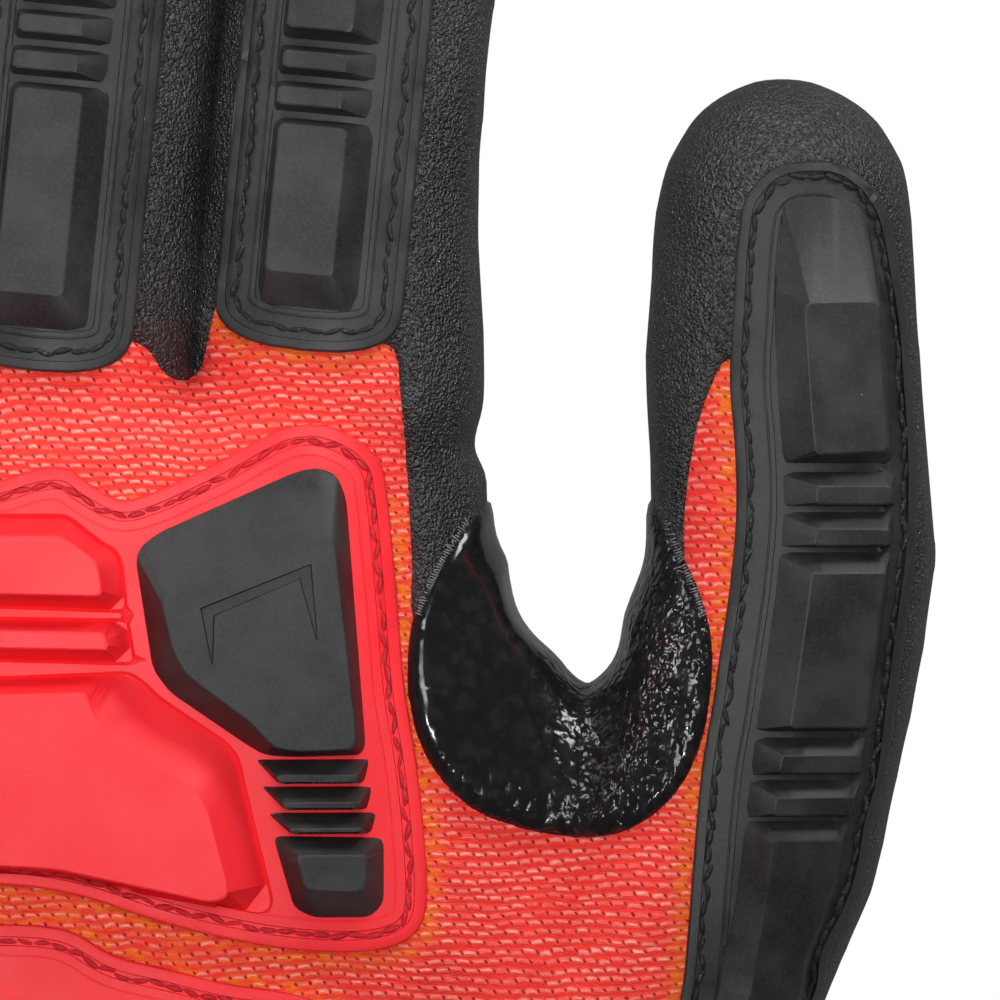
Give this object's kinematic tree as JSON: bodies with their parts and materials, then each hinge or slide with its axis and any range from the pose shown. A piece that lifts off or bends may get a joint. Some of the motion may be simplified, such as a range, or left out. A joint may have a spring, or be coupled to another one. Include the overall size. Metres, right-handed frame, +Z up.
{
  "type": "impact glove",
  "caption": "Left-hand dipped knit work glove with moulded impact guards on fingers, thumb, knuckles and wrist, and a smooth reinforced thumb crotch.",
  "frame": {"origin": "on the resting face under the palm, on the line that the back plate is symmetric about", "axes": "+Z up, away from the surface, with the back of the hand on top; +Y towards the fingertips; +X towards the thumb"},
  "size_m": [0.1579, 0.2567, 0.0428],
  "materials": {
    "knit_red": "coral red knit",
    "coat_sandy": "sandy nitrile",
    "saddle_gloss": "smooth glossy nitrile",
    "guard_black": "satin moulded rubber",
    "guard_red": "satin moulded rubber"
  },
  "bodies": {
    "root": {"knit_liner": "knit_red", "palm_coat": "coat_sandy", "thumb_saddle": "saddle_gloss", "thumb_guard": "guard_black", "index_guard": "guard_black", "middle_guard": "guard_black", "ring_guard": "guard_black", "little_guard": "guard_black", "back_plate": "guard_red", "wrist_guard": "guard_red", "knuckle_pad_right": "guard_black", "rib_1_right": "guard_black", "rib_2_right": "guard_black", "rib_3_right": "guard_black", "tail_pad_right": "guard_black", "knuckle_pad_left": "guard_black", "rib_1_left": "guard_black", "rib_2_left": "guard_black", "rib_3_left": "guard_black", "tail_pad_left": "guard_black"}
  },
  "joints": []
}
